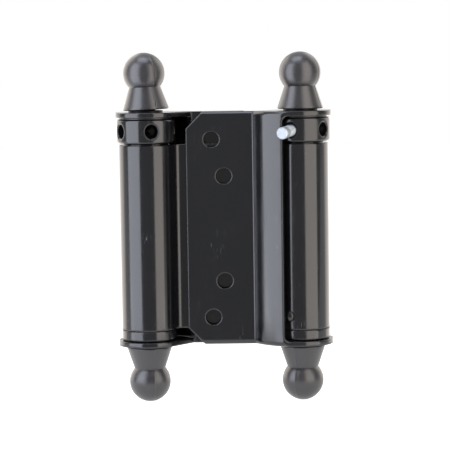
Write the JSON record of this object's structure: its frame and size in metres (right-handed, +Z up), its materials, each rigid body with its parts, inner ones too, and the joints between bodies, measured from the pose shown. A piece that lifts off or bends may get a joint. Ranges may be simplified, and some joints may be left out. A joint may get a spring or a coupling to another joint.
{
  "type": "double action cafe door hinge",
  "caption": "Double action spring hinge for a cafe door, with sprung barrels on a rolled web, folded screw leaves, tension collars and ball finials.",
  "frame": {"origin": "middle of the closed hinge, between the spindles at half height", "axes": "+X from the left to the right spindle, +Y from the front leaf to the rear leaf, +Z up the spindles"},
  "size_m": [0.0702, 0.033, 0.1141],
  "materials": {
    "black_enamel": "gloss",
    "black_plastic": "satin",
    "zinc_steel": "bright",
    "bright_steel": "turned",
    "spring_steel": "oiled"
  },
  "bodies": {
    "rear_leaf": {"rear_leaf": "black_enamel", "left_spindle": "bright_steel", "upper_left_retainer": "zinc_steel", "upper_left_finial": "black_plastic", "lower_left_retainer": "zinc_steel", "lower_left_finial": "black_plastic"},
    "web": {"center_web": "black_enamel", "left_bottom_plug": "black_enamel", "right_bottom_plug": "black_enamel", "left_anchor_rivet": "black_enamel", "right_anchor_rivet": "black_enamel", "left_spring": "spring_steel", "right_spring": "spring_steel"},
    "front_leaf": {"front_leaf": "black_enamel", "right_spindle": "bright_steel", "upper_right_retainer": "zinc_steel", "upper_right_finial": "black_plastic", "lower_right_retainer": "zinc_steel", "lower_right_finial": "black_plastic"},
    "left_collar": {"left_collar": "black_enamel", "left_tension_pin": "zinc_steel"},
    "right_collar": {"right_collar": "black_enamel", "right_tension_pin": "zinc_steel"}
  },
  "joints": [
    {"name": "web_swing", "type": "hinge", "parent": "rear_leaf", "child": "web", "pos_m": [-0.0251, 0, 0], "axis": [0, 0, -1], "range_deg": [0, 180], "stiffness_Nm_per_rad": 0.5, "springref_deg": -60.16, "deforming": ["left_spring"]},
    {"name": "front_leaf_swing", "type": "hinge", "parent": "web", "child": "front_leaf", "pos_m": [0.0251, 0, 0], "axis": [0, 0, 1], "range_deg": [0, 180], "stiffness_Nm_per_rad": 0.5, "springref_deg": -60.16, "deforming": ["right_spring"]},
    {"name": "left_collar_turn", "type": "hinge", "parent": "rear_leaf", "child": "left_collar", "pos_m": [-0.0251, 0, 0], "axis": [0, 0, 1], "range_deg": [0, 72], "stiffness_Nm_per_rad": 0.1, "springref_deg": -60.16, "deforming": ["left_spring"]},
    {"name": "right_collar_turn", "type": "hinge", "parent": "front_leaf", "child": "right_collar", "pos_m": [0.0251, 0, 0], "axis": [0, 0, 1], "range_deg": [0, 72], "stiffness_Nm_per_rad": 0.1, "springref_deg": -60.16, "deforming": ["right_spring"]}
  ]
}
